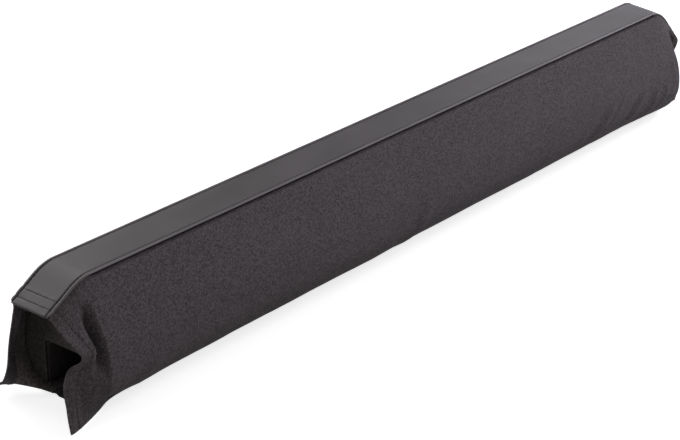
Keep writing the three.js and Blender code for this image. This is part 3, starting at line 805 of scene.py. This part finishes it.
def foam_section(x, trim):
    """The foam's section at x: left side, right side, channel. trim lowers its top and draws its sides in."""
    shares = np.linspace(0, 1, SIDE_POINTS)
    outline = body_point(np.full(SIDE_POINTS, x), mix(2 * PANEL_START / SIDE.length, FOAM_DOWN, shares))
    side = inset(outline, CLOTH + GAP + trim * (1 - 0.85 * smooth(0.5, 1, shares)))
    top = [BAND_IN - 3.2 - trim / 2, HEIGHT - COATED - GAP - trim]
    side[:, 0] -= 2.4 * (1 - smooth(0, 0.1, shares))
    half = np.concatenate([[top], side, [[side[-1, 0] - 2 * CLOTH, FOAM_UP]]])
    round_it = LINING + GAP
    channel = channel_outline(CHANNEL_WIDTH / 2 + round_it, CEILING + round_it, CHANNEL_CORNER, FOAM_UP)
    return np.concatenate([(half * (-1, 1))[::-1], half, channel[::-1]])


def foam_trim(x, end):
    """How much lower than the body's top the foam ends at x, with its end rounded over."""
    round_over = 2.5 * max(0.0, 1 - (FOAM_X - x) / 5) ** 2
    return HEIGHT - float(top_height(x, end)) + round_over


def ring_at(x, outline):
    """An outline (out, up) in space at x."""
    return np.concatenate([np.full((len(outline), 1), x), outline], 1)


def foam_block():
    rings = []
    for end, sign in ENDS.items():
        for back in (0.3, 0.8, 1.5, 2.5, 4, 6, 9, 13, 30, 50, 68, 85, 120, 180, 250):
            x = FOAM_X - back
            rings.append(ring_at(sign * x, foam_section(x, foam_trim(x, end))))
    rings = np.stack(sorted(rings, key=lambda ring: ring[0, 0]))
    points = rings.reshape(-1, 3)
    return outward(make("foam_block", points, tube_faces(*rings.shape[:2]), points[:, [0, 2]]))


dress(foam_block(), FOAMED, "foam", "foam_core")


def lining():
    """The cloth over the channel's walls and ceiling, with a foot outwards at either side."""
    inner = channel_outline(CHANNEL_WIDTH / 2, CEILING, CHANNEL_CORNER - LINING, FOAM_UP - GAP - LINING)
    foot = np.array([[-(CHANNEL_WIDTH / 2 + LINING + FOOT), FOAM_UP - GAP - LINING]])
    inner = np.concatenate([foot, inner, foot * (-1, 1)])
    near_end = np.linspace(0.2 - FOAM_X, 30 - FOAM_X, 16)
    xs = np.concatenate([near_end, np.linspace(40 - FOAM_X, FOAM_X - 40, 90), -near_end[::-1]])
    grid = np.stack([ring_at(x, inner) for x in xs])
    sag = 0.12 + 0.12 * lumps(grid, 22, 31)
    grid = grid - normals_of(grid) * sag[..., None]
    thick = np.full(grid.shape[:2], LINING * 0.8)
    return shell("lining_channel", grid[:, ::-1], thick, laid_out(grid)[:, ::-1], (False, False))


dress(lining(), LINED, "lining", "channel_lining")


def end_panel(end):
    """The cloth over the foam's end, drawn in a little and puckered at its seams."""
    sign = ENDS[end]
    section = foam_section(FOAM_X, foam_trim(FOAM_X, end) + GAP)
    channel_from = 2 * (SIDE_POINTS + 2)
    around, waves = np.linspace(0, 1, 90), 17
    outer, inner = Line(section[:channel_from])(around), Line(section[channel_from:][::-1])(around)
    shares = np.linspace(0, 1, 16)[:, None]
    flat = mix(outer, inner, shares[..., None])
    pucker = 0.22 * np.cos(2 * math.pi * waves * around) * ((1 - shares) ** 3 + shares ** 3)
    x = FOAM_X + GAP + 0.95 + pucker - 0.25 * np.sin(shares * math.pi)
    grid = np.concatenate([(sign * x)[..., None], flat], -1)
    return shell(f"lining_end_{end}", grid[:, ::sign], np.full(x.shape, 0.6), flat[:, ::sign], (False, False))


# The end panels wear the lighter end cloth: painted light
for end in ENDS:
    piece = dress(end_panel(end), END_CLOTH_PAINTED_LIGHT, "lining", f"{end}_end_panel")


# The flaps under the bar, and their tapes

def round_run(half_length, corner, around, between):
    """Places along a strip, and how far its round corners draw its long edge in at each."""
    turn = corner * (1 - np.cos(np.linspace(0, math.pi / 2, around)))
    last = half_length - corner - 4
    straight = np.linspace(-last, last, between)
    xs = np.concatenate([turn - half_length, straight, (half_length - turn)[::-1]])
    run = np.minimum(corner, half_length - np.abs(xs))
    return list(zip(xs, corner - np.sqrt(np.maximum(0, corner ** 2 - (corner - run) ** 2))))


def flap(name, side, level, half_length, node):
    """A flap sewn on inside a side's lower edge, level past its seam, with round corners at its free edge."""
    hand = HAND[side]
    seam_up, seam_in = CLOTH + GAP, HALF_BASE - FLAP_SEAM + GAP
    rows = []
    for x, cut in round_run(half_length, FLAP_CORNER, 14, 160):
        outs = np.concatenate([[HALF_BASE], np.linspace(seam_in + 0.6, seam_in - FLAP_STEP - 0.6, 8),
                               np.linspace(seam_in - FLAP_STEP - 1.4, -FLAP_OVERLAP + cut, 22)])
        rise = smooth(seam_in + 0.3, seam_in - FLAP_STEP - 0.3, outs)
        rows.append(np.stack([np.full(len(outs), x), hand * outs, mix(seam_up, level, rise)], -1))
    grid = np.stack(rows)
    free = smooth(4, -2, hand * grid[..., 1])
    lift = 0.12 * lumps(grid, 26, 41 if side == "front" else 43) + 0.05
    grid[..., 2] += np.abs(lift) * free * 0.8
    thick = np.full(grid.shape[:2], CLOTH * 0.9)
    rounds = (side == "front", side == "back")
    piece = shell(name, grid[:, ::hand], thick, laid_out(grid)[:, ::hand], (True, True), rounds)
    dress(piece, WOVEN, "woven", node)
    if side == "back":
        piece.data.materials.append(EDGE_TAPE)
        for face in piece.data.polygons:
            face.material_index = int(abs(face.center.x) * 1000 > half_length - EDGE_TAPE_WIDTH)


HOOK_UP = CLOTH + GAP
LOOP_UP = HOOK_UP + TAPE + GAP
INNER_FLAP_UP = LOOP_UP + TAPE + GAP


def tape(name, up, middle, material, node):
    """A tape whose lower face is at the height up, with a low even edge and pile between."""
    long, corner = FOAM_X - INNER_FLAP_SHORT - TAPE_SHORT, 3.0
    rows = []
    for x, cut in round_run(long, corner, 8, 120):
        half = TAPE_WIDTH / 2 - cut
        across = half * np.sin(np.linspace(-math.pi / 2, math.pi / 2, 19))
        edge_down = 0.25 * smooth(half - 1.6, half - 0.6, np.abs(across))
        rows.append(np.stack([np.full(len(across), x), middle + across, up + TAPE * 0.92 - edge_down], -1))
    grid = np.stack(rows)
    pile = 0.1 * lumps(grid, 1.6, 51)
    grid[..., 2] += pile * (np.abs(grid[..., 1] - middle) < TAPE_WIDTH / 2 - 1.5) - 0.06
    thick = grid[..., 2] - up - 0.02
    piece = shell(name, grid, thick, laid_out(grid), (True, True), (True, True))
    dress(piece, material, "tape", node)


tape("hook_strip", HOOK_UP, -1, HOOKED, "hook_tape")
tape("loop_strip", LOOP_UP, 1, LOOPED, "loop_tape")
flap("flap_inner", "front", INNER_FLAP_UP, FOAM_X - INNER_FLAP_SHORT, "inner_flap")
flap("flap_outer", "back", 0.0, FOAM_X + OUTER_FLAP_PAST, "outer_flap")


# Thread

def stitches(name, lines, pitch=3.0, long=2.35, radius=0.24):
    """Rows of single stitches. Each line is (points, outward directions), in mm."""
    sides, points, faces, uv = 6, [], [], []
    turns = np.linspace(0, 2 * math.pi, sides, endpoint=False)
    # How far along, how high and how thick a stitch is: it dips in at its ends
    half_bends = ((-0.5, -0.5, 0.35), (-0.42, 0.1, 0.8), (-0.2, 0.5, 1.0))
    bends = (*half_bends, *((-s, lift, fat) for s, lift, fat in half_bends[::-1]))
    for path, ups in lines:
        line, up_line = Line(path), np.asarray(ups, float)
        share_at = line.at / line.length
        count = int(line.length / pitch)
        for k in range(count):
            share = (k + 0.5) / count
            behind, ahead = line([share - 0.2 / count])[0], line([share + 0.2 / count])[0]
            run = (ahead - behind) / max(np.linalg.norm(ahead - behind), 1e-9)
            up = np.array([np.interp(share, share_at, up_line[:, c]) for c in range(3)])
            up -= run * (up @ run)
            up /= max(np.linalg.norm(up), 1e-9)
            across = np.cross(run, up)
            middle = (behind + ahead) / 2
            start = len(points)
            for s, lift, fat in bends:
                centre = middle + run * (s * long) + up * (lift * radius)
                for t in turns:
                    points.append(centre + (across * math.cos(t) + up * math.sin(t) * 0.8) * radius * fat)
                    uv.append((k * pitch + s * long, t * radius))
            faces += tube_faces(len(bends), sides, start)
    dress(outward(make(name, points, faces, uv)), THREAD, "welt")


def grid_line(grid, out, edge, distance, end, columns):
    """The line on a panel that runs at a distance from one mouth's edge, with its outward directions."""
    middle = len(grid) // 2
    rows = list(range(middle) if end == "near" else range(len(grid) - 1, middle, -1))
    points, ups = [], []
    for c in columns:
        k = int(np.argmax(edge[rows, c] >= distance))
        a, b = rows[k - 1], rows[k]
        share = (distance - edge[a, c]) / max(edge[b, c] - edge[a, c], 1e-9)
        points.append(mix(grid[a, c], grid[b, c], share))
        ups.append(out[a, c])
    return np.array(points), np.array(ups)


hem_lines = []
for grid, out in PANELS.values():
    edge = from_edge(grid)
    for end in ENDS:
        points, ups = grid_line(grid, out, edge, HEM_LINE, end, range(6, grid.shape[1]))
        hem_lines.append((points + ups * 0.05, ups))
        hem_lines.append((points - ups * (2 * CLOTH - 0.05), -ups))
stitches("thread_hems", hem_lines, pitch=3.2, long=2.5)

edge = from_edge(TOP_GRID)
out = normals_of(TOP_GRID)
top_lines = []
for end in ENDS:
    for distance in STRIP_STITCHES:
        points, ups = grid_line(TOP_GRID, out, edge, distance, end, range(3, TOP_GRID.shape[1] - 3))
        top_lines.append((points + ups * 0.02, ups))
stitches("thread_top_hems", top_lines, pitch=3.0)

seam_lines = []
xs = np.linspace(-REACH + HEM + 2, REACH - HEM - 2, 400)
for hand in HAND.values():
    path = np.stack([xs, np.full(len(xs), hand * (BAND_IN - 0.7)), crest(xs, (hand + 1) / 2) - 0.6], -1)
    seam_lines.append((path, np.tile([0, hand * 0.3, 1.0], (len(xs), 1))))
stitches("thread_seams", seam_lines, pitch=3.2, long=2.7, radius=0.5)


# Camera, floor, light

# The camera that was fitted to the photo's edges and corners, with its focal length in the photo's pixels
CAMERA_AT = (-1.0738, -0.8370, 0.6253)
CAMERA_RIGHT, CAMERA_UP = Vector((0.64106, -0.76749, 0)), Vector((0.31745, 0.26516, 0.91045))
CAMERA_AHEAD = Vector((0.69876, 0.58365, -0.41363))
FOCAL_PIXELS, PHOTO_WIDE_PIXELS, SENSOR = 1915.8, 680, 36

camera = bpy.data.objects.new("camera", bpy.data.cameras.new("camera"))
bpy.context.scene.collection.objects.link(camera)
axes = Matrix((CAMERA_RIGHT, CAMERA_UP, -CAMERA_AHEAD)).transposed()
camera.matrix_world = Matrix.Translation(CAMERA_AT) @ axes.to_4x4()
camera.data.lens = FOCAL_PIXELS / PHOTO_WIDE_PIXELS * SENSOR
camera.data.sensor_width = SENSOR
camera.data.clip_start, camera.data.clip_end = 0.05, 50
bpy.context.scene.camera = camera


def lamp(name, at, target, size, watts, colour):
    """An area lamp that points at the target, in metres."""
    data = bpy.data.lights.new(name, "AREA")
    data.shape, data.size, data.size_y, data.energy, data.color = "RECTANGLE", *size, watts, colour
    made = bpy.data.objects.new(name, data)
    bpy.context.scene.collection.objects.link(made)
    made.location = at
    made.rotation_euler = (Vector(target) - Vector(at)).to_track_quat("-Z", "Y").to_euler()


PAD = (0, 0, 0.05)
lamp("front_right", (1.3, -1.3, 0.9), PAD, (0.9, 0.7), 5, (0.98, 0.955, 1.05))
lamp("high_front", (0.9, -0.9, 1.5), PAD, (0.9, 0.7), 7.8, (1, 0.97, 1))
lamp("far_back", (1.8, 0.86, 0.62), (0.3, 0, 0.05), (0.7, 0.5), 2.1, (0.98, 0.96, 1.04))
lamp("high_back", (0.0, 1.6, 1.2), PAD, (2.0, 0.8), 17, (1, 0.985, 1))
lamp("far_right", (1.9, -0.3, 0.9), PAD, (0.8, 0.8), 14, (0.98, 0.955, 1.05))
lamp("left", (-1.4, 0.5, 1.4), PAD, (0.8, 0.8), 6, (1, 0.985, 0.98))
lamp("front_left", (-1.2, -1.4, 1.0), PAD, (0.8, 0.8), 2.6, (1, 0.985, 0.97))


def seen_or_lit(tree, lit, seen):
    """The value lit where a surface's light falls on the pad, and seen where the camera looks at it."""
    rays = tree.nodes.new("ShaderNodeLightPath")
    either = tree.nodes.new("ShaderNodeMath")
    either.operation = "MAXIMUM"
    tree.links.new(rays.outputs["Is Camera Ray"], either.inputs[0])
    tree.links.new(rays.outputs["Is Transmission Ray"], either.inputs[1])
    level = tree.nodes.new("ShaderNodeMapRange")
    level.inputs[3].default_value, level.inputs[4].default_value = lit, seen
    tree.links.new(either.outputs[0], level.inputs[0])
    return level.outputs[0]


world = bpy.data.worlds.new("studio")
bpy.context.scene.world = world
world.use_nodes = True
back = world.node_tree.nodes["Background"]
world.node_tree.links.new(seen_or_lit(world.node_tree, 0.02, 1.0), back.inputs["Strength"])
back.inputs["Color"].default_value = (1, 1, 1, 1)

# The floor: pale and matt, lifted to white for the camera, with the pad's own shadow left on it
floor = bpy.data.objects.new("floor", bpy.data.meshes.new("floor"))
corners = [(x, y, 0) for x, y in ((-6, -6), (6, -6), (6, 6), (-6, 6))]
floor.data.from_pydata(corners, [], [range(4)])
bpy.context.scene.collection.objects.link(floor)
floor.location.z = -0.0002
matt = bpy.data.materials.new("floor")
matt.use_nodes = True
tree = matt.node_tree
tree.nodes.clear()
output = tree.nodes.new("ShaderNodeOutputMaterial")
plain = tree.nodes.new("ShaderNodeBsdfDiffuse")
glow = tree.nodes.new("ShaderNodeEmission")
total = tree.nodes.new("ShaderNodeAddShader")
tree.links.new(seen_or_lit(tree, 0.75, 0.8), plain.inputs["Color"])
tree.links.new(seen_or_lit(tree, 0.0, 0.75), glow.inputs["Strength"])
tree.links.new(plain.outputs[0], total.inputs[0])
tree.links.new(glow.outputs[0], total.inputs[1])
tree.links.new(total.outputs[0], output.inputs[0])
floor.data.materials.append(matt)

bpy.context.scene.view_settings.view_transform = "Standard"
